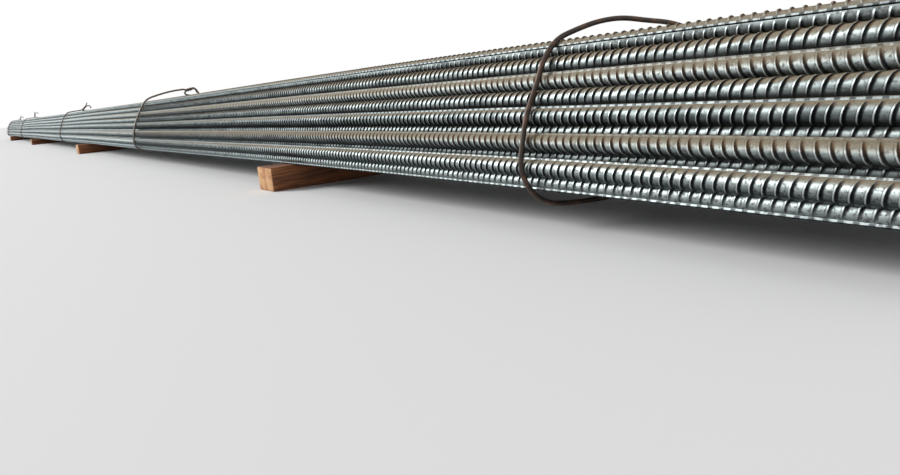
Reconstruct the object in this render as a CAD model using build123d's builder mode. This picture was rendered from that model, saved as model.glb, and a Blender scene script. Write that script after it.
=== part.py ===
"""Bundle of ribbed reinforcing bars, tied with wire rod and lying on timber bearers.

Millimetres. The bars run along X, +Z is up, and the bearers stand on the floor at Z = 0.
"""
from build123d import *
from math import atan2, cos, degrees, radians, sin, tan
import os

# Bar: a round core with two opposite ribs along its whole length
bar_length = 12000.0
core_diameter = 21.3
core_sides = 10
rib_height = 1.8
rib_root_width = 3.4
rib_tip_width = 1.6
rib_root_depth = 0.6
bar_clearance = 0.3
end_stagger = 30.0
steepest_bottom_rib = 54.0

# Section of the bundle: flat underneath, widest low down, its round top pressed flat
half_width = 173.0
belly_height = 32.0
crown_height = 192.0
crown_power = 2.0
belly_power = 7.0
flat_top = 187.0
section_left = -147.0
tight_valley = 57.0
valley_swing = 3.0
open_valleys = {-3: 60.0, -2: 52.0, -1: 59.0, 0: 30.5, 1: 30.5, 2: 59.0, 3: 60.0, 7: 44.0, 10: 50.0}

# Wire ties, each one rod wound once round the bundle and twisted shut
wire_diameter = 7.0
wire_sides = 5
wire_clearance = 0.3
end_to_tie = 500.0
tie_shares = (0.0, 0.225, 0.455, 0.787, 1.0)
wrap_directions = 8
slack_above = (13.0, 0.0, 0.0, 0.0, 0.0)
slack_below = (26.0, 0.0, 0.0, 0.0, 0.0)
bend_share = 0.45
largest_bend = 45.0
knot_quarters = 3
knot_quarter_rise = 9.0
knot_radius = 5.6
knot_bend = 6.0
tail_length = 38.0
tail_spread = 16.0
near_knot_direction = 45.0
other_knot_direction = 90.0

# Timber bearers under the bundle
bearer_width = 90.0
bearer_height = 52.0
bearer_length = 420.0
bearer_edge = 2.0
bearer_count = 4
end_to_bearer = 1375.0

core_radius = core_diameter / 2
rib_radius = core_radius + rib_height
wire_radius = wire_diameter / 2
bar_pitch = core_radius + rib_radius + bar_clearance
lowest_centre = bearer_height + bar_clearance + core_radius
near_end = bar_length / 2


def valley_angle(gap):
    """Slope from one bar of the lowest level up into the valley over a gap of that level."""
    return open_valleys.get(gap, tight_valley + valley_swing * sin(2.1 * gap))


def lowest_level(index):
    """Sideways place of a bar of the lowest level, counted from the front."""
    gaps = range(index) if index >= 0 else range(index, 0)
    width = sum(2 * bar_pitch * cos(radians(valley_angle(gap))) for gap in gaps)
    return width if index >= 0 else -width


def bar_centre(level, index):
    """Each bar lies in the valley between two bars of the level below it."""
    slopes = [radians(valley_angle(index + step)) for step in range(level)]
    y = lowest_level(index) + bar_pitch * sum(cos(slope) for slope in slopes)
    z = lowest_centre + bar_pitch * sum(sin(slope) for slope in slopes)
    return section_left + y, z


def rib_angle(level, index):
    """Even levels turn their ribs to the next bar up, odd levels lie as they fell."""
    if level % 2 == 0:
        turned = (valley_angle(index + level) + valley_angle(index + level - 1)) / 2
        return turned if level > 0 else min(turned, steepest_bottom_rib)
    return 125 + 36 * sin(2.3 * level + 4.1 * index)


def inside_outline(y, z):
    """True where a whole bar fits within the rounded outline of the bundle."""
    if z + rib_radius > bearer_height + flat_top:
        return False
    across = abs(y) / (half_width - rib_radius)
    above_belly = z - bearer_height - belly_height
    if above_belly > 0:
        up = above_belly / (crown_height - rib_radius)
        return across ** crown_power + up ** crown_power <= 1.0
    return across ** belly_power + (-above_belly / belly_height) ** belly_power <= 1.0


def bundle_bars():
    """All bars as (level, y, z, angle of the ribs, shift along X)."""
    span = int(2 * half_width / core_diameter)
    top_level = int(2 * (belly_height + crown_height) / core_diameter)
    found = []
    for level in range(top_level):
        for index in range(-span, span):
            y, z = bar_centre(level, index)
            if inside_outline(y, z):
                shift = sin(5.3 * level + 2.7 * index) + sin(1.7 * level - 3.9 * index)
                found.append((level, y, z, rib_angle(level, index), shift))
    shifts = [bar[4] for bar in found]
    middle = (max(shifts) + min(shifts)) / 2
    reach = (max(shifts) - min(shifts)) / 2
    return [(*bar[:4], end_stagger * (bar[4] - middle) / reach) for bar in found]


bars = bundle_bars()
os.makedirs("parts", exist_ok=True)

# Section of one bar, its ribs to the left and right
rib_depth = rib_height + rib_root_depth
rib_flank = degrees(atan2(rib_depth, (rib_root_width - rib_tip_width) / 2))
with BuildSketch() as bar_section:
    RegularPolygon(core_radius, core_sides)
    with PolarLocations(rib_radius - rib_depth / 2, 2):
        Trapezoid(rib_root_width, rib_depth, rib_flank, rotation=-90)

# Bars, one node for each level of the packing, every bar a solid of its own
level_count = max(bar[0] for bar in bars) + 1
for level in range(level_count):
    members = [bar for bar in bars if bar[0] == level]
    with BuildPart() as bars_layer:
        for _, y, z, angle, shift in members:
            far_end = Plane(origin=(shift - near_end, y, z), x_dir=(0, 1, 0), z_dir=(1, 0, 0))
            with BuildSketch(far_end):
                add(bar_section.sketch, rotation=angle)
            extrude(amount=bar_length)
    name = f"bars_layer_{level + 1}"
    bars_layer.part.label = name
    export_step(bars_layer.part, f"parts/{name}.step")
    print(name, len(members), "bars")


def reach_towards(direction):
    """How far the bars reach in a direction of the section, ribs included."""
    def reach(bar):
        turn = radians(bar[3]) - direction
        rib = rib_radius * abs(cos(turn)) + rib_tip_width / 2 * abs(sin(turn))
        return bar[1] * cos(direction) + bar[2] * sin(direction) + max(core_radius, rib)
    return max(reach(bar) for bar in bars)


def wire_reach(direction, above, below):
    """How far the middle of a wire pulled round the bars lies out in a direction."""
    slack = above if sin(direction) > 0.9 else below if sin(direction) < -0.9 else 0.0
    return reach_towards(direction) + wire_clearance + wire_radius + slack


def wrap_corners(above, below):
    """Corners of the wire round the bars, anticlockwise from the back."""
    step = radians(360 / wrap_directions)
    corners = []
    for number in range(wrap_directions):
        direction = number * step
        run = wire_reach(direction, above, below)
        after = wire_reach(direction + step, above, below)
        along = (after - run * cos(step)) / sin(step)
        y = run * cos(direction) - along * sin(direction)
        z = run * sin(direction) + along * cos(direction)
        corners.append(Vector(0, y, z))
    return corners


def largest_bends(corners):
    """Radius of the bend at each corner, held down by the runs beside it and the bars inside."""
    half_turn = radians(180 / wrap_directions)
    bends = []
    for number, corner in enumerate(corners):
        before = corners[number - 1]
        after = corners[(number + 1) % wrap_directions]
        shorter = min((corner - before).length, (after - corner).length)
        bend = min(largest_bend, bend_share * shorter / tan(half_turn))
        for aside in (-0.75, -0.5, -0.25, 0.0, 0.25, 0.5, 0.75):
            direction = (2 * number + 1 + aside) * half_turn
            room = corner.Y * cos(direction) + corner.Z * sin(direction)
            room -= reach_towards(direction) + wire_clearance + wire_radius
            bend = min(bend, room / (cos(aside * half_turn) / cos(half_turn) - 1))
        bends.append(max(bend, wire_diameter))
    return bends


def knot_strand(base, out, along, side):
    """One end of the wire, turning out of the loop, round the other end and away."""
    strand = [base + along * side * knot_radius]
    for quarter in range(knot_quarters + 1):
        turn = radians(90 * quarter)
        swing = along * cos(turn) + Vector(1, 0, 0) * sin(turn)
        height = knot_bend + knot_quarter_rise * (quarter + 0.5)
        strand.append(base + out * height + swing * side * knot_radius)
    return strand + [strand[-1] + out * tail_length + along * side * tail_spread]


# Wire ties, the near one knotted on the shoulder at the back and the others on top
for number, share in enumerate(tie_shares):
    x = near_end - end_to_tie - share * (bar_length - 2 * end_to_tie)
    corners = wrap_corners(slack_above[number], slack_below[number])
    bends = largest_bends(corners)
    knot_direction = near_knot_direction if number == 0 else other_knot_direction
    knot_run = round(knot_direction / 360 * wrap_directions)
    corners = corners[knot_run:] + corners[:knot_run]
    bends = bends[knot_run:] + bends[:knot_run]
    along = (corners[0] - corners[-1]).normalized()
    out = Vector(0, along.Z, -along.Y)
    base = (corners[0] + corners[-1]) / 2
    start, finish = (knot_strand(base, out, along, side) for side in (1, -1))
    points = start[::-1] + corners + finish
    radii = [knot_bend] * (len(start) - 1) + bends + [knot_bend] * (len(finish) - 1)
    with BuildPart() as wire_tie:
        with BuildLine() as route:
            FilletPolyline(*(point + Vector(x, 0, 0) for point in points), radius=radii)
        path = route.wire()
        with BuildSketch(Plane(origin=path @ 0, z_dir=path % 0)) as wire_section:
            RegularPolygon(wire_radius, wire_sides)
        sweep(path=path)
    name = f"wire_tie_{number + 1}"
    wire_tie.part.label = name
    export_step(wire_tie.part, f"parts/{name}.step")
    print(name, "length", round(path.length), "volume", round(wire_tie.part.volume),
          "section times length", round(wire_section.sketch.area * path.length))

# Timber bearers, side by side under the bundle
bearer_spacing = (bar_length - 2 * end_to_bearer) / (bearer_count - 1)
for number in range(bearer_count):
    x = near_end - end_to_bearer - number * bearer_spacing
    with BuildPart() as bearer:
        with BuildSketch(Plane.YZ.offset(x - bearer_width / 2)):
            with Locations((0, bearer_height / 2)):
                Rectangle(bearer_length, bearer_height)
        extrude(amount=bearer_width)
        chamfer(bearer.edges().filter_by(Axis.Y), bearer_edge)
    name = f"timber_bearer_{number + 1}"
    bearer.part.label = name
    export_step(bearer.part, f"parts/{name}.step")
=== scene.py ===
# %% [markdown]
# A bundle of ribbed reinforcing bars, as a mill ships it: about a hundred bars of 22 mm,
# twelve metres long, pulled together with wire rod and laid on timber bearers. The packed
# model already holds every bar, tie and bearer at its real size. What it leaves out is what
# makes the bars look like reinforcing steel: the slanting ribs, the mill scale, the dust.
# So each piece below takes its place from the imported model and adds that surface.

# %% Load the frame
import bmesh
import bpy
import random
from math import atan2, cos, hypot, pi, radians, sin
from mathutils import Matrix, Vector


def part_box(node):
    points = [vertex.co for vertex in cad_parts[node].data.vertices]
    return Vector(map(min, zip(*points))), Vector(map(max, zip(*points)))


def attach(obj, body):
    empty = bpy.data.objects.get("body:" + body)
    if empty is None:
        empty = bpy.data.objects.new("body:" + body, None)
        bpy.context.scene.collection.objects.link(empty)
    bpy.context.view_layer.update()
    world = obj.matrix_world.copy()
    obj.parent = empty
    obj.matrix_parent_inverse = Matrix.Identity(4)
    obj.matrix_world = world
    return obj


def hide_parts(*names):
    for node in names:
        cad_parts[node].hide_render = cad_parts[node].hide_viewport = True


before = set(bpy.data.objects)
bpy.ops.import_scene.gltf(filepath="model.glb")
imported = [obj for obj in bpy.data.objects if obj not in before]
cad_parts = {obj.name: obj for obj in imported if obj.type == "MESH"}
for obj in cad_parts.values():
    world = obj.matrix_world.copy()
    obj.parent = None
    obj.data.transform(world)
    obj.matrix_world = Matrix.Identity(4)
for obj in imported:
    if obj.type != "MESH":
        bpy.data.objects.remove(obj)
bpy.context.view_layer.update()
nodes = sorted(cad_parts)

# %% [markdown]
# The camera stands close to the near end and looks along the bars. All parallel bars run to
# one vanishing point, and with the picture's centre and a focal length that point fixes the
# direction of the bars as the camera sees them. The slope of the level lines gives the roll.
# So nothing is turned by eye, and only the camera's place is left to find: it is where the
# bars, the first tie and the first bearer fall on their places in the picture.

# %% Camera from the vanishing point of the bars
image_width, image_height = 900, 475
focal_length_px = 760.0
sensor_width_mm = 36.0
bars_vanish_px = (-45.0, 130.0)
level_line_slope = -0.10
camera_place = Vector((6.255, -0.759, 0.198))

towards_far_end = Vector((bars_vanish_px[0] - image_width / 2,
                          bars_vanish_px[1] - image_height / 2, focal_length_px)).normalized()
downwards = towards_far_end.cross(Vector((1.0, level_line_slope, 0.0))).normalized()
if downwards.y < 0:
    downwards = -downwards
across = downwards.cross(towards_far_end)
world_axes = (-towards_far_end, across, -downwards)
camera_right = Vector([axis.x for axis in world_axes])
camera_up = Vector([-axis.y for axis in world_axes])
camera_back = Vector([-axis.z for axis in world_axes])

camera_data = bpy.data.cameras.new("camera")
camera_data.sensor_width = sensor_width_mm
camera_data.lens = sensor_width_mm * focal_length_px / image_width
camera_data.clip_start = 0.02
camera_data.clip_end = 200.0
camera = bpy.data.objects.new("camera", camera_data)
turn = Matrix((camera_right, camera_up, camera_back)).transposed()
camera.matrix_world = Matrix.Translation(camera_place) @ turn.to_4x4()
bpy.context.scene.collection.objects.link(camera)
bpy.context.scene.camera = camera
print("lens", round(camera_data.lens, 1), "handed right", round(turn.determinant(), 3))

# %% [markdown]
# Three small helpers serve all pieces. One turns a finished bmesh into an object that stays
# at the origin, smooth where it is round and sharp at its real edges. One ties the object to
# the imported model: it rides on the model's one body and hides the node it stands for.
# The last one counts triangles, because a bundle of ribbed bars can easily have too many.

# %% Helpers for finished pieces
def object_from(name, bm, smooth_below=40.0):
    """A mesh object at the origin, smooth where faces meet at less than the given angle."""
    mesh = bpy.data.meshes.new(name)
    bm.to_mesh(mesh)
    bm.free()
    mesh.shade_smooth()
    mesh.set_sharp_from_angle(angle=radians(smooth_below))
    piece = bpy.data.objects.new(name, mesh)
    bpy.context.scene.collection.objects.link(piece)
    return piece


def stands_for(piece, node):
    """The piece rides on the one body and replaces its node."""
    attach(piece, "root")
    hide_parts(node)


def triangles_of(piece):
    return sum(len(polygon.vertices) - 2 for polygon in piece.data.polygons)


# %% [markdown]
# Each node of bars holds a dozen separate bars, so the places are read from their meshes:
# a copy is merged, and each loose part of it is one bar. Its middle is the mean of its
# corners, because a bar looks the same after half a turn. The two corners that lie furthest
# out belong to a long rib, and they give the angle at which the bar lies. A set of corners
# has no order of its own, so the bars are sorted from front to back, and the seeded numbers
# further down fall on the same bars in every run.

# %% Read each bar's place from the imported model
merge_distance = 1e-6
rib_tip_span = 0.0025
end_span = 0.001
outside_core = 0.011


def loose_parts(bm):
    """The corners of each separate solid of a bmesh."""
    waiting = set(bm.verts)
    while waiting:
        part, to_follow = set(), [waiting.pop()]
        while to_follow:
            vertex = to_follow.pop()
            part.add(vertex)
            for edge in vertex.link_edges:
                other = edge.other_vert(vertex)
                if other in waiting:
                    waiting.discard(other)
                    to_follow.append(other)
        yield [vertex.co.copy() for vertex in part]


def place_of_bar(corners):
    """Where a bar lies in the section, how its long ribs are turned, and where it ends."""
    y = sum(corner.y for corner in corners) / len(corners)
    z = sum(corner.z for corner in corners) / len(corners)
    tip = max(corners, key=lambda corner: hypot(corner.y - y, corner.z - z))
    pair = [corner for corner in corners
            if (corner - tip).yz.length < rib_tip_span and abs(corner.x - tip.x) < end_span
            and hypot(corner.y - y, corner.z - z) > outside_core]
    rib_y = sum(corner.y for corner in pair) / len(pair) - y
    rib_z = sum(corner.z for corner in pair) / len(pair) - z
    ends = min(corner.x for corner in corners), max(corner.x for corner in corners)
    return {"y": y, "z": z, "rib_angle": atan2(rib_z, rib_y) % pi, "ends": ends}


bars = {}
for node in [name for name in nodes if name.startswith("bars_layer")]:
    bm = bmesh.new()
    bm.from_mesh(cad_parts[node].data)
    bmesh.ops.remove_doubles(bm, verts=bm.verts, dist=merge_distance)
    bars[node] = [place_of_bar(corners) for corners in loose_parts(bm)]
    bars[node].sort(key=lambda bar: round(bar["y"], 4))
    bm.free()
all_bars = [bar for members in bars.values() for bar in members]
bar_length = all_bars[0]["ends"][1] - all_bars[0]["ends"][0]
print(len(all_bars), "bars of", round(bar_length, 3), "m")

# %% [markdown]
# A rib costs faces, and a bundle has over a hundred thousand of them, so modelled ribs go
# only where someone can see them. A bar is seen where a straight line leaves its middle
# without meeting another bar. Rays in the section find this in a moment: the share of free
# rays is nought deep inside the bundle and about a half on its outside.

# %% Find the bars that can be seen
half_pitch = 0.0117
ray_count = 48


def free_directions(bar):
    """The directions, in the section, in which nothing hides the bar."""
    free = []
    for number in range(ray_count):
        angle = 2 * pi * number / ray_count
        hidden = False
        for other in all_bars:
            y, z = other["y"] - bar["y"], other["z"] - bar["z"]
            along = y * cos(angle) + z * sin(angle)
            aside = abs(z * cos(angle) - y * sin(angle))
            if along > half_pitch and aside < half_pitch:
                hidden = True
                break
        if not hidden:
            free.append(angle)
    return free


for bar in all_bars:
    bar["free"] = free_directions(bar)
print(sum(1 for bar in all_bars if bar["free"]), "bars can be seen from the side")

# %% [markdown]
# The bare bar is a rolled round of 21 mm with two ribs along its whole length. A cone with
# equal ends makes the round, and two of its side faces are pushed out and narrowed to make
# the long ribs, which is close to what the rolls do. Cuts across the bar let it bend a
# little, and part the modelled ribs from the stretches where a bump pattern stands for them.

# %% One bare bar with its two long ribs
core_radius = 0.01065
rib_height = 0.0018
core_sides = 18
long_rib_narrowing = 0.5
bar_map = "bar_map"


def cut_through(bm, place, direction):
    """Cut a mesh with a plane that stands across a direction, and keep both sides."""
    bmesh.ops.bisect_plane(bm, geom=bm.verts[:] + bm.edges[:] + bm.faces[:],
                           plane_co=place, plane_no=direction)


def bare_bar(cuts):
    """A bar along X, its middle at the origin and its long ribs at plus and minus Y."""
    bm = bmesh.new()
    bmesh.ops.create_cone(bm, cap_ends=True, segments=core_sides, radius1=core_radius,
                          radius2=core_radius, depth=bar_length)
    bmesh.ops.rotate(bm, verts=bm.verts, cent=(0, 0, 0), matrix=Matrix.Rotation(pi / 2, 3, "Y"))
    bmesh.ops.rotate(bm, verts=bm.verts, cent=(0, 0, 0),
                     matrix=Matrix.Rotation(pi / core_sides, 3, "X"))
    for side in (1, -1):
        bm.faces.ensure_lookup_table()
        strip = max((face for face in bm.faces if abs(face.normal.x) < 0.5),
                    key=lambda face: side * face.normal.y)
        pushed = bmesh.ops.extrude_discrete_faces(bm, faces=[strip])["faces"][0]
        for vertex in pushed.verts:
            vertex.co.y += side * rib_height
            vertex.co.z *= long_rib_narrowing
    bm.normal_update()
    seams = [edge for edge in bm.edges
             if all(abs(face.normal.x) > 0.9 for face in edge.link_faces)]
    bmesh.ops.dissolve_edges(bm, edges=seams)
    for cut in cuts:
        cut_through(bm, (cut, 0, 0), (1, 0, 0))
    bmesh.ops.recalc_face_normals(bm, faces=bm.faces)
    return bm


def map_bar(bm):
    """Lay out a bar's surface: along the bar in metres, and round it in whole turns."""
    layer = bm.loops.layers.uv.new(bar_map)
    for face in bm.faces:
        middle = face.calc_center_median()
        round_middle = atan2(middle.z, middle.y)
        for loop in face.loops:
            place = loop.vert.co
            swing = atan2(place.z, place.y) - round_middle
            swing = (swing + pi) % (2 * pi) - pi
            loop[layer].uv = (place.x, (round_middle + swing) / (2 * pi))


trial = bare_bar([])
print(len(trial.faces), "faces on a bare bar")
trial.free()

# %% [markdown]
# The slanting ribs are crescents: full height half way round, and nothing where they meet
# the long ribs. A small profile spun about the bar gives a band, and the shift along the
# axis that spin allows gives it the slant. Then each ring of the band is pressed down
# towards the core, more the nearer it is to the ends, and the band becomes a crescent.
# One side of the bar slants one way and the other side the other way, as on real bars.

# %% One crescent rib
rib_spacing = 0.0132
rib_foot_width = 0.0042
rib_top_width = 0.0016
rib_reach = radians(80)
rib_slant = 0.0045
rib_sink = 0.0004
crescent_power = 2.6


def crescent(side, steps, slant):
    """A rib over one side of the bar, centred on plus or minus Z."""
    bm = bmesh.new()
    foot, top = rib_foot_width / 2, rib_top_width / 2
    profile = [bm.verts.new((x, 0, side * r)) for x, r in (
        (-foot, core_radius - rib_sink), (-top, core_radius + rib_height),
        (top, core_radius + rib_height), (foot, core_radius - rib_sink))]
    edges = [bm.edges.new(pair) for pair in zip(profile, profile[1:])]
    bmesh.ops.rotate(bm, verts=bm.verts, cent=(0, 0, 0), matrix=Matrix.Rotation(-rib_reach, 3, "X"))
    bmesh.ops.spin(bm, geom=profile + edges, cent=(0, 0, 0), axis=(1, 0, 0),
                   dvec=(2 * slant / steps, 0, 0), angle=2 * rib_reach, steps=steps)
    bmesh.ops.translate(bm, verts=bm.verts, vec=(-slant, 0, 0))
    for vertex in bm.verts:
        turned = atan2(vertex.co.y, side * vertex.co.z)
        share = min(abs(turned) / rib_reach, 1.0)
        radius = hypot(vertex.co.y, vertex.co.z)
        if radius > core_radius:
            height = (rib_height + rib_sink) * (1 - share ** crescent_power) - rib_sink
            vertex.co.y *= (core_radius + height) / radius
            vertex.co.z *= (core_radius + height) / radius
    bmesh.ops.recalc_face_normals(bm, faces=bm.faces)
    crown = max(bm.faces, key=lambda face: side * face.calc_center_median().z)
    if side * crown.normal.z < 0:
        bmesh.ops.reverse_faces(bm, faces=bm.faces)
    return bm


trial = crescent(1, 8, rib_slant)
print(len(trial.faces), "faces on a crescent")
trial.free()

# %% [markdown]
# A row of ribs is one pair of crescents repeated at the spacing of the rolls. An Array
# modifier does that, and its result is read back as a mesh, so a finished row can be copied
# onto every bar that needs it. Fine ribs serve the near end of the bars in front, coarser
# ones take over further along and on the other bars in sight, and the hidden bars get only
# the few ribs that show at their two ends.

# %% Rows of ribs
fine_from = 4.9
relief_from = 3.9
front_relief_from = 2.97
end_margin = 0.004
tip_ribs = 8
fine_steps, coarse_steps, plain_steps = 8, 5, 4


def rib_place(number):
    return (number + 0.5) * rib_spacing


def rib_row(name, first, last, steps):
    """A mesh of rib pairs, from one rib number down to another."""
    bm = crescent(1, steps, rib_slant)
    lower = crescent(-1, steps, -rib_slant)
    spare = bpy.data.meshes.new("spare")
    lower.to_mesh(spare)
    lower.free()
    bm.from_mesh(spare)
    bpy.data.meshes.remove(spare)
    bmesh.ops.translate(bm, verts=bm.verts, vec=(rib_place(first), 0, 0))
    pair = object_from(name, bm)
    row = pair.modifiers.new("row", "ARRAY")
    row.use_relative_offset = False
    row.use_constant_offset = True
    row.constant_offset_displace = (-rib_spacing, 0, 0)
    row.count = first - last + 1
    finished = bpy.data.meshes.new_from_object(
        pair.evaluated_get(bpy.context.evaluated_depsgraph_get()))
    bpy.data.objects.remove(pair)
    bm = bmesh.new()
    bm.from_mesh(finished)
    map_bar(bm)
    bm.to_mesh(finished)
    bm.free()
    print(name, len(finished.polygons), "faces")
    return finished


last_rib = int((bar_length / 2 - end_margin) / rib_spacing) - 1
fine_to = int(fine_from / rib_spacing)
coarse_to = int(relief_from / rib_spacing)
front_coarse_to = int(front_relief_from / rib_spacing)
fine_row = rib_row("fine_row", last_rib, fine_to, fine_steps)
front_coarse_row = rib_row("front_coarse_row", fine_to - 1, front_coarse_to, coarse_steps)
coarse_row = rib_row("coarse_row", last_rib, coarse_to, plain_steps)
near_tip_row = rib_row("near_tip_row", last_rib, last_rib - tip_ribs, plain_steps)
far_tip_row = rib_row("far_tip_row", tip_ribs - last_rib - 1, -last_rib - 1, plain_steps)

# %% [markdown]
# Long bars are never quite straight. Past the last bearer they droop by their own weight, by
# the fourth power of the overhang over eight times the stiffness, about 5 mm here, and they
# sag a little between bearers. One shift for all bars that touch keeps them from meeting.

# %% Sag between the bearers and droop at the ends
bearer_places = sorted(sum(corner.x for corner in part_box(node)) / 2
                       for node in nodes if node.startswith("timber_bearer"))
bearer_gap = bearer_places[1] - bearer_places[0]
end_droop = 0.005
middle_sag = 0.002
cut_spacing, first_cut, cut_count = 0.4, 5.8, 30
bend_cuts = [cut_spacing * number - first_cut for number in range(cut_count)]
hidden_cuts = [bearer_places[0], bearer_places[-1]]


def lowered(x):
    """How far the bars hang down at a place along the bundle."""
    beyond = max(abs(x) - bearer_places[-1], 0.0)
    if beyond > 0:
        return end_droop * (beyond / (bar_length / 2 - bearer_places[-1])) ** 2
    return middle_sag * sin(pi * (x - bearer_places[0]) / bearer_gap) ** 2


def sag(bm):
    for vertex in bm.verts:
        vertex.co.z -= lowered(vertex.co.x)


print("lowered at the near end", round(lowered(bar_length / 2), 4))

# %% [markdown]
# Bars are cut cold with a shear, which leaves the end a little out of square with a rolled
# edge. Each bar's end faces are tilted by a few degrees and the corner is beveled, with
# numbers from a seeded generator so that every run gives the same bundle.

# %% Sheared ends
random.seed(22)
cut_tilt = radians(7)
corner_break = 0.0009


def sheared_ends(bm, tilt, direction):
    """Tilt both end faces and round the edge that the shear rolled over."""
    ends = [face for face in bm.faces if abs(face.normal.x) > 0.9 and len(face.verts) >= core_sides]
    for face in ends:
        side = 1 if face.normal.x > 0 else -1
        for vertex in face.verts:
            lean = vertex.co.y * cos(direction) + vertex.co.z * sin(direction)
            vertex.co.x -= side * (core_radius + lean) * tilt
    edges = [edge for face in ends for edge in face.edges]
    bmesh.ops.bevel(bm, geom=edges, offset=corner_break, offset_type="OFFSET", segments=1,
                    profile=0.5, affect="EDGES", material=-1)


print("cut ends tilted by up to", round(cut_tilt, 3), "of their width")

# %% [markdown]
# Two bars of the front carry thick dust, the upper bars some, and the others little. Their
# share goes into a colour attribute, next to a chance number for the tint. A bar can be
# turned over without changing its outline, and then its ribs slant the other way as seen
# from the front. The dusty bars lie one way round there and all others the other way.

# %% Which bars show, and how each one lies
dusty_places = ((-0.121, 0.186), (-0.153, 0.113))
viewed_from = pi - 0.2
front_side, front_low, front_rays = -0.35, -0.6, 2
open_sky = 0.9
thick_dust, upper_dust, chance_dust = 1.0, 0.35, 0.4
near_slot, far_slot, end_slot = 0, 1, 2


def is_dusty(bar):
    return min(hypot(bar["y"] - y, bar["z"] - z) for y, z in dusty_places) < half_pitch


def is_in_front(bar):
    """True where more than a few free rays leave the bar towards the viewer."""
    rays = [angle for angle in bar["free"] if cos(angle) < front_side and sin(angle) > front_low]
    return len(rays) > front_rays


def lie_of(bar):
    """The move that lays a bar in its place, turned over where its ribs ask for it."""
    first_side_out = (viewed_from - bar["rib_angle"]) % (2 * pi) < pi
    turned_over = 0.0 if first_side_out == is_dusty(bar) else pi
    middle_x = (bar["ends"][0] + bar["ends"][1]) / 2
    return (Matrix.Translation((middle_x, bar["y"], bar["z"]))
            @ Matrix.Rotation(bar["rib_angle"] + turned_over, 4, "X"))


def dust_on(bar):
    if is_dusty(bar):
        return thick_dust
    open_above = any(sin(angle) > open_sky for angle in bar["free"])
    return (upper_dust if open_above else 0.0) + chance_dust * random.random()


print(sum(is_in_front(bar) for bar in all_bars), "bars in front,",
      sum(is_dusty(bar) for bar in all_bars), "of them dusty")

# %% [markdown]
# A node's bars are put together in one bmesh: the bare bar with its ends cut, then the rows
# of ribs it needs, laid in its place. Three material slots part the stretch with modelled
# ribs, the stretch with ribs as bump, and the cut ends.

# %% Build the bars, node by node
end_reach = 0.01


def add_mesh(bm, mesh, place):
    """Join a mesh to a bmesh at a place."""
    before = len(bm.verts)
    bm.from_mesh(mesh)
    bm.verts.ensure_lookup_table()
    bmesh.ops.transform(bm, matrix=place, verts=bm.verts[before:])


def slot_of(face, ribs_from):
    """The material slot of a face of a bar whose modelled ribs start at a place."""
    middle = face.calc_center_median()
    if abs(face.normal.x) > 0.8 and abs(middle.x) > bar_length / 2 - end_reach:
        return end_slot
    return far_slot if middle.x < ribs_from else near_slot


def finished_bar(ribs_from, cuts):
    """A bare bar with its ends cut, mapped and with its material slots."""
    bm = bare_bar(cuts)
    sheared_ends(bm, cut_tilt * random.random(), 2 * pi * random.random())
    map_bar(bm)
    for face in bm.faces:
        face.material_index = slot_of(face, ribs_from)
    mesh = bpy.data.meshes.new("bar")
    bm.to_mesh(mesh)
    bm.free()
    return mesh


def bars_piece(node):
    whole = bmesh.new()
    look = whole.loops.layers.float_color.new("bar_look")
    for bar in bars[node]:
        if is_in_front(bar):
            ribs_from, rows = front_relief_from, (fine_row, front_coarse_row, far_tip_row)
        elif bar["free"]:
            ribs_from, rows = relief_from, (coarse_row, far_tip_row)
        else:
            ribs_from, rows = bar_length, (near_tip_row, far_tip_row)
        cuts = [ribs_from] + bend_cuts if bar["free"] else hidden_cuts
        mesh = finished_bar(ribs_from, cuts)
        before = len(whole.faces)
        for part in (mesh,) + rows:
            add_mesh(whole, part, lie_of(bar))
        bpy.data.meshes.remove(mesh)
        dust, tint = dust_on(bar), random.random()
        whole.faces.ensure_lookup_table()
        for face in whole.faces[before:]:
            for loop in face.loops:
                loop[look] = (dust, tint, 0.0, 1.0)
    sag(whole)
    return object_from(node.replace("bars", "ribbed_bars"), whole, 32.0)


bar_pieces = []
for node in sorted(bars):
    piece = bars_piece(node)
    stands_for(piece, node)
    bar_pieces.append(piece)
    print(piece.name, triangles_of(piece), "triangles")
print("bars in all", sum(triangles_of(piece) for piece in bar_pieces))

# %% [markdown]
# Each tie is a single length of annealed wire rod, wound once round the bundle. The two ties
# next to the viewer have a route that is given corner by corner, as Y and Z. The first
# is loose: it stands off the upper bars, hugs the face and hangs in a slack bow underneath.
# The second stands off the top and is tight elsewhere. The others are pulled tight all round,
# so their corners are worked out from how far the bars reach in sixteen directions.

# %% Routes of the wire
wire_radius = 0.0035
near_tie_route = [
    (0.145, 0.240), (0.105, 0.250), (0.062, 0.254), (0.014, 0.260), (-0.030, 0.257),
    (-0.070, 0.248), (-0.104, 0.238), (-0.127, 0.214), (-0.137, 0.192), (-0.149, 0.170),
    (-0.161, 0.148), (-0.170, 0.117), (-0.177, 0.085), (-0.168, 0.060), (-0.153, 0.043),
    (-0.132, 0.032), (-0.100, 0.027), (-0.050, 0.024), (0.020, 0.023), (0.090, 0.026),
    (0.145, 0.042), (0.176, 0.075), (0.180, 0.125), (0.173, 0.175), (0.163, 0.215)]
second_tie_route = [
    (0.048, 0.271), (0.000, 0.268), (-0.050, 0.259), (-0.101, 0.246), (-0.124, 0.218),
    (-0.137, 0.195), (-0.150, 0.172), (-0.162, 0.147), (-0.171, 0.115), (-0.177, 0.083),
    (-0.168, 0.056), (-0.140, 0.0465), (-0.080, 0.0465), (0.000, 0.0465), (0.080, 0.0465),
    (0.140, 0.047), (0.168, 0.060), (0.177, 0.090), (0.176, 0.125), (0.168, 0.160),
    (0.154, 0.193), (0.134, 0.220), (0.110, 0.240), (0.078, 0.2435), (0.056, 0.247),
    (0.049, 0.256)]


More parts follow.
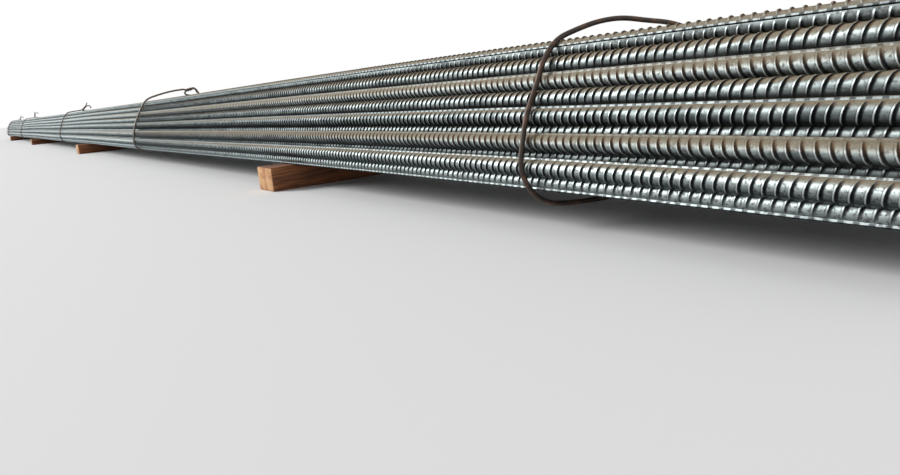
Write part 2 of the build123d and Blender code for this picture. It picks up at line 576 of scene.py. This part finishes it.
def reach_of_bars(direction):
    """How far the bars reach in a direction of the section."""
    furthest = max(bar["y"] * cos(direction) + bar["z"] * sin(direction) for bar in all_bars)
    return furthest + core_radius + rib_height


def wrap_route(turns=16, away=0.004):
    """Corners of a loop pulled round the bars, anticlockwise from the back."""
    step = 2 * pi / turns
    route = []
    for number in range(turns):
        direction = number * step
        run = reach_of_bars(direction) + away
        after = reach_of_bars(direction + step) + away
        along = (after - run * cos(step)) / sin(step)
        route.append((run * cos(direction) - along * sin(direction),
                      run * sin(direction) + along * cos(direction)))
    return route


print(len(near_tie_route), len(second_tie_route), len(wrap_route()), "corners on the routes")

# %% [markdown]
# The two ends of a tie are twisted round each other with a bar, and each strand of the twist
# is a helix about the line on which the knot stands. Where the knot stands up, its tails bend
# apart, one longer than the other. Where it is laid over, they hang down at the back.

# %% Knots and their tails
knot_turn = radians(60)
knot_start, knot_rise = 0.006, 0.0036
knot_looseness = 1.02
standing_steps, hanging_steps = 13, 9
standing_tails = {1: ((0.008, 0.002), (0.017, 0.006)),
                  -1: ((0.009, 0.006), (0.013, 0.017), (0.005, 0.029))}
hanging_tails = ((0.009, 0.000), (0.017, -0.010), (0.021, -0.024))
tails_apart = 0.25


def twisted_strand(base, out, along, side, steps):
    """The stretch of one end that winds round the other end."""
    strand = []
    for step in range(steps):
        turned = knot_turn * step
        swing = along * cos(turned) + Vector((1, 0, 0)) * sin(turned)
        strand.append(base + out * (knot_start + knot_rise * step)
                      + swing * side * wire_radius * knot_looseness)
    return strand


def standing_strand(base, out, along, side):
    """One end of the wire in a knot that stands up."""
    strand = twisted_strand(base, out, along, side, standing_steps)
    return strand + [strand[-1] + out * further + along * side * aside
                     for further, aside in standing_tails[side]]


def hanging_strand(base, out, along, side):
    """One end of the wire in a knot that is laid over."""
    strand = twisted_strand(base, out, along, side, hanging_steps)
    return strand + [strand[-1] + out * further + Vector((tails_apart * further * side, 0, drop))
                     for further, drop in hanging_tails]


print("a standing knot is", round(knot_start + knot_rise * (standing_steps - 1), 3), "m tall")

# %% [markdown]
# Rod bends in long soft curves, so a tie is a NURBS curve with a round bevel through the
# corners of its route, turned into a mesh. It sags with the bars that it holds. No two knots
# are alike: the first stands square to its loop, the second is laid over to the back, and the
# others lean by different amounts.

# %% Wire ties
laid_over = Vector((0, 0.98, 0.20))
knot_leans = {"wire_tie_3": 1.1, "wire_tie_4": 0.25, "wire_tie_5": 0.7}
top_corner = 3


def rod(name, points):
    """Round wire along a smooth curve, as a mesh."""
    curve = bpy.data.curves.new(name, "CURVE")
    curve.dimensions = "3D"
    curve.bevel_depth = wire_radius
    curve.bevel_resolution = 3
    curve.resolution_u = 6
    curve.use_fill_caps = True
    spline = curve.splines.new("NURBS")
    spline.points.add(len(points) - 1)
    for place, point in zip(spline.points, points):
        place.co = (*point, 1.0)
    spline.order_u = 3
    spline.use_endpoint_u = True
    drawn = bpy.data.objects.new(name, curve)
    mesh = bpy.data.meshes.new_from_object(drawn)
    bpy.data.objects.remove(drawn)
    bm = bmesh.new()
    bm.from_mesh(mesh)
    bpy.data.meshes.remove(mesh)
    sag(bm)
    return object_from(name, bm, 50.0)


def tie_piece(node, route, knot_after=-1, out=None, strand=standing_strand):
    """A tie whose knot stands between two corners of its loop."""
    low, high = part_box(node)
    x = (low.x + high.x) / 2
    loop = [Vector((x, y, z)) for y, z in route]
    loop = loop[knot_after + 1:] + loop[:knot_after + 1]
    along = (loop[0] - loop[-1]).normalized()
    if out is None:
        out = Vector((0, along.z, -along.y))
    else:
        along = Vector((0, -out.z, out.y))
    base = (loop[0] + loop[-1]) / 2
    start, finish = (strand(base, out, along, side) for side in (1, -1))
    return rod(node.replace("wire_tie", "wire_rod_tie"), start[::-1] + loop + finish)


tie_pieces = []
for node in [name for name in nodes if name.startswith("wire_tie")]:
    if node == "wire_tie_1":
        piece = tie_piece(node, near_tie_route[::-1])
    elif node == "wire_tie_2":
        piece = tie_piece(node, second_tie_route, out=laid_over, strand=hanging_strand)
    else:
        leaning = Vector((0, knot_leans[node], 1)).normalized()
        piece = tie_piece(node, wrap_route(), top_corner, out=leaning)
    stands_for(piece, node)
    tie_pieces.append(piece)
    print(piece.name, triangles_of(piece), "triangles")

# %% [markdown]
# The bearers are rough-sawn softwood. A cube brought to size, with its edges broken and its
# faces cut into small ones, can be pushed about by slow waves: that gives the slightly wavy
# faces that a straight box lacks. The underside moves least, because it lies on the floor.

# %% Timber bearers
edge_break = 0.003
saw_wave = 0.0009
pieces_along, pieces_across = 28, 6
side_wave, top_wave, cross_wave, bearer_shift = 61, 83, 40, 7
side_share, flat_share, flat_span = 0.8, 0.25, 0.0001


def bearer_piece(node):
    low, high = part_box(node)
    size, middle = high - low, (high + low) / 2
    bm = bmesh.new()
    bmesh.ops.create_cube(bm, size=1.0)
    bmesh.ops.scale(bm, vec=size - Vector((0, 2 * saw_wave, 0)), verts=bm.verts)
    bmesh.ops.bevel(bm, geom=bm.edges[:], offset=edge_break, offset_type="OFFSET", segments=2,
                    profile=0.5, affect="EDGES", material=-1)
    for number in range(1, pieces_along):
        cut_through(bm, (0, size.y * (number / pieces_along - 0.5), 0), (0, 1, 0))
    for number in range(1, pieces_across):
        cut_through(bm, (size.x * (number / pieces_across - 0.5), 0, 0), (1, 0, 0))
    for vertex in bm.verts:
        place = vertex.co
        share = 1 if abs(place.z) < size.z / 2 - flat_span else flat_share
        wave = sin(side_wave * place.y + bearer_shift * middle.x)
        place.x += share * saw_wave * wave * side_share
        if place.z > 0:
            ripple = 1 + sin(top_wave * place.y + cross_wave * place.x + middle.x)
            place.z -= saw_wave * 0.5 * ripple
    bmesh.ops.translate(bm, verts=bm.verts, vec=middle)
    return object_from(node.replace("timber_bearer", "sawn_bearer"), bm, 50.0)


bearer_pieces = []
for node in [name for name in nodes if name.startswith("timber_bearer")]:
    piece = bearer_piece(node)
    stands_for(piece, node)
    bearer_pieces.append(piece)
print(len(bearer_pieces), "bearers of", triangles_of(bearer_pieces[0]), "triangles")

# %% [markdown]
# Shader maths reads best as plain expressions. A small class wraps a node socket, and its
# operators add the Math nodes. A soft step is the one function that needs a Map Range node.

# %% Sockets in expressions
def join(tree, place, value):
    """Link a socket to an input, or set the input to a plain value."""
    if isinstance(value, Socket):
        tree.links.new(value.socket, place)
    else:
        place.default_value = value


class Socket:
    """A node socket that can be used in arithmetic."""

    def __init__(self, tree, socket):
        self.tree, self.socket = tree, socket

    def maths(self, operation, *values):
        node = self.tree.nodes.new("ShaderNodeMath")
        node.operation = operation
        for place, value in zip(node.inputs, values):
            join(self.tree, place, value)
        return Socket(self.tree, node.outputs[0])

    def __add__(self, other):
        return self.maths("ADD", self, other)

    def __radd__(self, other):
        return self.maths("ADD", other, self)

    def __sub__(self, other):
        return self.maths("SUBTRACT", self, other)

    def __rsub__(self, other):
        return self.maths("SUBTRACT", other, self)

    def __mul__(self, other):
        return self.maths("MULTIPLY", self, other)

    def __rmul__(self, other):
        return self.maths("MULTIPLY", other, self)

    def __truediv__(self, other):
        return self.maths("DIVIDE", self, other)

    def __abs__(self):
        return self.maths("ABSOLUTE", self)

    def fraction(self):
        return self.maths("FRACT", self)

    def larger(self, other):
        return self.maths("MAXIMUM", self, other)

    def smaller(self, other):
        return self.maths("MINIMUM", self, other)

    def below(self, other):
        return self.maths("LESS_THAN", self, other)

    def power(self, other):
        return self.maths("POWER", self, other)

    def between(self, low, high):
        """0 below low, 1 above high, and a soft step between."""
        node = self.tree.nodes.new("ShaderNodeMapRange")
        node.interpolation_type = "SMOOTHSTEP"
        join(self.tree, node.inputs["Value"], self)
        join(self.tree, node.inputs["From Min"], low)
        join(self.tree, node.inputs["From Max"], high)
        return Socket(self.tree, node.outputs[0])


print("sockets add, multiply and blend")

# %% [markdown]
# A finish is a material with a few calls that build its nodes. One method makes any node: its
# settings first, because some of them change which sockets there are, and then the values or
# links of its sockets. The others are short names for nodes that every finish needs.

# %% Finishes
class Finish:
    """A material and the few calls that build its nodes."""

    def __init__(self, name):
        self.material = bpy.data.materials.new(name)
        self.material.use_nodes = True
        self.tree = self.material.node_tree
        self.shader = self.tree.nodes["Principled BSDF"]

    def node(self, kind, settings=None, output=0, numbered=None, **named):
        """Any node. A socket goes by its name, or by its number where names repeat."""
        made = self.tree.nodes.new("ShaderNode" + kind)
        for name, value in (settings or {}).items():
            setattr(made, name, value)
        sockets = {name.replace("_", " "): value for name, value in named.items()}
        for place, value in {**sockets, **(numbered or {})}.items():
            join(self.tree, made.inputs[place], value)
        return Socket(self.tree, made.outputs[output])

    def noise(self, vector, scale, detail=3.0, roughness=0.5):
        return self.node("TexNoise", Vector=vector, Scale=scale, Detail=detail, Roughness=roughness)

    def mix(self, share, first, second):
        """Blend two colours."""
        first, second = (colour if isinstance(colour, Socket) else (*colour, 1.0)
                         for colour in (first, second))
        return self.node("Mix", {"data_type": "RGBA"}, 2, {0: share, 6: first, 7: second})

    def part(self, vector, which):
        """One of the three numbers of a vector."""
        return self.node("SeparateXYZ", output=which, Vector=vector)

    def bump(self, height):
        return self.node("Bump", Height=height, Distance=1.0, Strength=1.0)

    def feed(self, **inputs):
        for name, value in inputs.items():
            join(self.tree, self.shader.inputs[name.replace("_", " ")], value)


print("ready for finishes")

# %% [markdown]
# The ribs leave marks on a bar, modelled or not: a bright crest that is partly wear and partly
# a painted highlight, a dark band round the foot of each rib with a painted shadow on its side
# towards the near end, and painted shadow breaks in the long ribs next to the crescents. They are
# worked out from the bar's own map, which gives metres along the bar and whole turns round it.
# The distance from the nearest rib is a fraction of the spacing, once this side's slant is taken
# off. The same sum gives the ridge that stands for a rib as bump.

# %% Marks of the ribs
def rib_marks(finish):
    """The marks as shares from 0 to 1. Distances from the middle of a rib are in metres."""
    bar_uv = finish.node("UVMap", {"uv_map": bar_map})
    along, round_bar = finish.part(bar_uv, 0), finish.part(bar_uv, 1)
    turned = (round_bar + 1.0).fraction()
    half_turn = (turned * 2.0).fraction()
    aside = abs(turned - 0.25).smaller(abs(turned - 0.75)) / (rib_reach / (2 * pi))
    crown = (1.0 - aside.power(crescent_power)).larger(0.0)
    upper = turned.below(0.5) * 2.0 - 1.0
    slant = ((half_turn - 0.5) * (pi / rib_reach)) * upper * rib_slant
    from_rib = (((along - slant) / rib_spacing).fraction() - 0.5) * rib_spacing
    near = abs(from_rib)
    ridge = 1.0 - near.between(rib_top_width / 2, rib_foot_width / 2)
    # Painted shadow: a dark band on the side of each rib's foot that faces the near end.
    painted_rib_shadow = from_rib.between(0.0006, 0.0012) * (1.0 - from_rib.between(0.0028, 0.0050))
    both = near.between(0.0016, 0.0020) * (1.0 - near.between(0.0020, 0.0030))
    from_long_rib = 0.5 - abs(half_turn - 0.5)
    long_rib = 1.0 - from_long_rib.between(0.045, 0.065)
    # The crest is partly wear and partly a painted highlight, the foot is a dark band with a
    # painted shadow on one side, and the gap marks painted shadow breaks in the long ribs.
    return {"ridge": ridge * crown, "foot": painted_rib_shadow.larger(0.5 * both) * crown,
            "crest": (1.0 - near.between(0.0003, 0.0009)) * crown, "long_rib": long_rib,
            "gap": long_rib * (1.0 - near.between(0.0022, 0.0034))}


print("ribs every", rib_spacing, "m on the map")

# %% [markdown]
# Hot-rolled bar carries mill scale, a thin blue-black oxide that is smooth enough to shine
# and flakes off in spots. The scale is painted darker where it faces down, a painted shade, and
# paler towards the far end, a painted light, and the far end carries less dust. Brown dust and
# flash rust settle on what faces up, most of all near the open end, and on some bars far more
# than on others. So the finish blends scale and dust by the slope of the surface, by noise,
# and by each bar's own numbers.

# %% Bar steel
scale_dark, scale_blue = (0.085, 0.101, 0.101), (0.39, 0.443, 0.436)
flake_grey, long_rib_grey = (0.070, 0.066, 0.060), (0.14, 0.155, 0.16)
# Painted shade for the undersides, and painted light for a paler far end.
painted_underside_shade, painted_far_light_scale = (0.030, 0.036, 0.040), (0.42, 0.465, 0.475)
# A painted rib shadow, and a painted highlight on the partly worn rib crests.
painted_shadow_black, crest_highlight_and_wear = (0.004, 0.005, 0.006), (0.55, 0.585, 0.59)
dust_brown, dust_tan = (0.165, 0.130, 0.086), (0.33, 0.280, 0.198)
# Rust at the rib feet, partly a painted shadow.
foot_rust_and_shadow = (0.20, 0.105, 0.050)


def steel_colour(finish, marks, tint, mottle, flaked, facing_up, open_end):
    """Mill scale, flaked, with painted shade underneath, painted light towards the far end, painted
    rib shadows, and painted highlights on the partly worn rib crests.
    """
    steel = finish.mix((mottle + 0.30 * tint - 0.15).between(0.25, 0.75), scale_dark, scale_blue)
    steel = finish.mix(flaked, steel, flake_grey)
    steel = finish.mix(marks["long_rib"] * 0.6, steel, long_rib_grey)
    # Painted shade: darker where the surface faces down, more so towards the near end.
    underneath = (0.0 - facing_up).between(-0.15, 0.75)
    steel = finish.mix(underneath * (0.5 + 0.3 * open_end), steel, painted_underside_shade)
    # Painted light: the scale is paler towards the far end.
    steel = finish.mix(0.5 - 0.5 * open_end, steel, painted_far_light_scale)
    # Painted shadow: near black at the rib feet, mostly on the side towards the near end, and at
    # breaks in the long ribs next to the crescents.
    steel = finish.mix(marks["foot"].larger(0.8 * marks["gap"]) * 0.92, steel, painted_shadow_black)
    # Painted highlight: brighter rib crests, partly worn bare steel.
    return finish.mix(marks["crest"] * 0.6, steel, crest_highlight_and_wear)


def dust_share(marks, dusty, mottle, patches, specks, facing_up, open_end):
    """How much dust lies on each place: some on all tops, a thick coat on the dusty bars."""
    heavy = (dusty - 0.8).between(0.0, 0.1)
    ground = facing_up + 0.25 * (mottle - 0.5) + 0.30 * (patches - 0.5)
    settled = (ground + 0.45 * dusty - 0.12 * heavy).between(0.60, 1.05)
    settled = settled * (1.0 - 0.4 * marks["gap"])
    thick = (ground + 0.10).between(0.0, 0.9) * heavy
    return settled.larger(thick) * (0.75 + 0.25 * specks) * (0.35 + 0.65 * open_end)


def bar_steel(name, ribs_as_bump):
    """Mill scale under dust, with the ribs modelled or as bump."""
    finish = Finish(name)
    marks = rib_marks(finish)
    place = finish.node("TexCoord", output=3)
    look = finish.node("Attribute", {"attribute_name": "bar_look"})
    dusty, tint = (finish.part(look, number) for number in range(2))
    facing_up = finish.part(finish.node("NewGeometry", output=1), 2)
    open_end = finish.part(place, 0).between(0.0, 5.5)
    stretched = finish.node("Mapping", Vector=place, Scale=(0.22, 1.0, 1.0))
    mottle = finish.noise(stretched, 90.0, 4.0, 0.6)
    patches = finish.noise(stretched, 14.0, 2.0)
    specks = finish.noise(place, 900.0, 2.0, 0.7)
    pits = finish.noise(place, 260.0, 2.0, 0.5)
    flaked = pits.between(0.50, 0.66) * (0.35 + 0.4 * tint)

    steel = steel_colour(finish, marks, tint, mottle, flaked, facing_up, open_end)
    dust = dust_share(marks, dusty, mottle, patches, specks, facing_up, open_end)
    dust_colour = finish.mix(specks.between(0.3, 0.7), dust_brown, dust_tan)
    # Rust at the rib feet in the dust; on the side of each rib towards the near end it is also a
    # painted shadow.
    dust_colour = finish.mix(marks["foot"] * 0.75, dust_colour, foot_rust_and_shadow)
    rough = 0.35 + 0.20 * mottle + 0.36 * dust + 0.25 * marks["foot"] + 0.15 * flaked
    height = 0.00010 * mottle + 0.00005 * specks + 0.00012 * pits
    if ribs_as_bump:
        height = height + marks["ridge"] * rib_height
    finish.feed(Base_Color=finish.mix(dust, steel, dust_colour), Roughness=rough,
                Metallic=0.92 * (1.0 - dust), Normal=finish.bump(height),
                Specular_Tint=(0.35, 0.38, 0.40, 1.0), Specular_IOR_Level=0.2)
    return finish.material


near_steel = bar_steel("ribbed_steel", False)
far_steel = bar_steel("far_ribbed_steel", True)
print(len(far_steel.node_tree.nodes), "nodes in the steel with ribs as bump")

# %% [markdown]
# A sheared end is torn metal that rusts at once, so it is duller and browner than the sides.
# A coarse noise gives blotches of two browns, and a fine one the bright torn grain.

# %% Sheared ends of the bars
def sheared_end():
    finish = Finish("sheared_end")
    place = finish.node("TexCoord", output=3)
    grain = finish.noise(place, 420.0, 4.0, 0.65)
    blotch = finish.noise(place, 120.0, 2.0)
    torn = finish.mix(blotch.between(0.35, 0.65), (0.16, 0.075, 0.035), (0.30, 0.17, 0.09))
    colour = finish.mix(grain.between(0.5, 0.75), torn, (0.38, 0.30, 0.24))
    finish.feed(Base_Color=colour, Roughness=0.75, Metallic=0.25,
                Normal=finish.bump(0.0006 * grain))
    return finish.material


end_steel = sheared_end()
for piece in bar_pieces:
    for material in (near_steel, far_steel, end_steel):
        piece.data.materials.append(material)
print("materials on", len(bar_pieces), "pieces of bars")

# %% [markdown]
# Annealed wire rod has no shine left. It is dark brown with redder bloom where the oxide has
# rubbed off and rusted, so one noise mixes two browns and a finer one gives the pitting. The
# rod of the first tie is duller than the others, which still have some grey in them.

# %% Wire rod
def rusty_rod():
    finish = Finish("rusty_rod")
    place = finish.node("TexCoord", output=3)
    bloom = finish.noise(place, 60.0, 3.0, 0.6)
    pits = finish.noise(place, 700.0, 3.0, 0.6)
    first_tie = finish.part(place, 0).between(4.0, 5.0)
    scale = finish.mix(first_tie, (0.150, 0.140, 0.125), (0.048, 0.036, 0.030))
    colour = finish.mix(bloom.between(0.42, 0.68), scale, (0.135, 0.074, 0.048))
    colour = finish.mix(pits.between(0.62, 0.8), colour, (0.24, 0.13, 0.08))
    finish.feed(Base_Color=colour, Roughness=0.36 + 0.3 * bloom, Metallic=0.6,
                Normal=finish.bump(0.0003 * pits))
    return finish.material


rod_finish = rusty_rod()
for piece in tie_pieces:
    piece.data.materials.append(rod_finish)
print("rod finish on", len(tie_pieces), "ties")

# %% [markdown]
# Sawn softwood shows long streaks along the grain, fine saw marks across it, and rings on the
# cut end. The streaks are noise drawn out along the timber. The rings are distances from a
# pith that lies off to one side, warped a little, and they show only where the surface faces
# along the grain. They repeat from bearer to bearer, so that one finish serves all four.

# %% Timber
ring_repeat = 3.083
rings_per_metre = 230.0
wood_dark, wood_red, wood_shadow = (0.13, 0.045, 0.018), (0.34, 0.13, 0.050), (0.060, 0.026, 0.014)
ring_pale, ring_red, end_stain = (0.62, 0.40, 0.20), (0.42, 0.17, 0.055), (0.33, 0.115, 0.035)


def sawn_timber():
    finish = Finish("sawn_timber")
    place = finish.node("TexCoord", output=3)
    along_grain = finish.node("Mapping", Vector=place, Scale=(1.0, 0.06, 1.0))
    streak = finish.noise(along_grain, 260.0, 4.0, 0.6)
    wide = finish.noise(along_grain, 45.0, 2.0)
    wood = finish.mix(streak.between(0.35, 0.65), wood_dark, wood_red)
    wood = finish.mix(wide.between(0.45, 0.65) * 0.75, wood, wood_shadow)

    pith = finish.node("Mapping", Vector=place, Scale=(1.0, 0.0, 1.0), Location=(0.02, 0.0, 0.07))
    x, z = finish.part(pith, 0), finish.part(pith, 2)
    x = (x / ring_repeat).fraction() * ring_repeat
    warp = finish.noise(place, 22.0, 2.0)
    ring = ((z * z + x * x).power(0.5) * rings_per_metre + warp * 2.5).fraction()
    stain = finish.noise(place, 38.0, 3.0, 0.7)
    grain = finish.mix(ring.between(0.45, 0.95), ring_pale, ring_red)
    grain = finish.mix(stain.between(0.42, 0.62) * 0.8, grain, end_stain)

    end_on = abs(finish.part(finish.node("NewGeometry", output=1), 1)).between(0.6, 0.9)
    saw = finish.node("TexWave", {"bands_direction": "Y"}, 1, Vector=place, Scale=55.0,
                      Distortion=2.0)
    height = 0.0006 * streak + 0.00025 * saw + 0.0004 * finish.noise(place, 300.0)
    finish.feed(Base_Color=finish.mix(end_on, wood, grain), Roughness=0.8 + 0.1 * streak,
                Normal=finish.bump(height))
    return finish.material


timber_finish = sawn_timber()
for piece in bearer_pieces:
    piece.data.materials.append(timber_finish)
print("timber finish on", len(bearer_pieces), "bearers")

# %% [markdown]
# The setting is a plain studio: a pale floor, one broad soft light and a weak even fill. The
# light comes from beyond the far end, above and from the viewer's side, so it rakes along the
# ribs and gives each one a bright and a dark flank. The white around the object is what the
# camera and mirror rays see of the world. All other rays get no more than the weak fill.

# %% Floor, light and world
floor_reach = 60.0
key_from = Vector((-1.0, -0.78, 0.60))
fill_strength, seen_strength = 0.45, 1.0

bm = bmesh.new()
bmesh.ops.create_grid(bm, x_segments=1, y_segments=1, size=floor_reach)
floor = object_from("floor", bm)
paint = Finish("pale_floor")
paint.feed(Base_Color=(0.80, 0.80, 0.80, 1.0), Roughness=0.9)
floor.data.materials.append(paint.material)

key = bpy.data.lights.new("key", "SUN")
key.energy = 3.2
key.angle = radians(30)
key_object = bpy.data.objects.new("key", key)
key_object.rotation_euler = key_from.to_track_quat("Z", "Y").to_euler()
bpy.context.scene.collection.objects.link(key_object)

world = bpy.data.worlds.new("studio")
bpy.context.scene.world = world
world.use_nodes = True
tree = world.node_tree
rays = tree.nodes.new("ShaderNodeLightPath")
camera_ray, mirror_ray, through_ray = (
    Socket(tree, rays.outputs[name])
    for name in ("Is Camera Ray", "Is Glossy Ray", "Is Transmission Ray"))
seen = camera_ray.larger(mirror_ray).larger(through_ray)
background = tree.nodes["Background"]
background.inputs["Color"].default_value = (1.0, 1.0, 1.0, 1.0)
join(tree, background.inputs["Strength"], fill_strength + (seen_strength - fill_strength) * seen)
bpy.context.scene.view_settings.view_transform = "Standard"
print("key light", key.energy, "fill", fill_strength)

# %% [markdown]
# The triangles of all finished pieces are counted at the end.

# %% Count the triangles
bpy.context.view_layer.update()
total = sum(triangles_of(piece) for piece in bar_pieces + tie_pieces + bearer_pieces)
print("triangles in all", total)
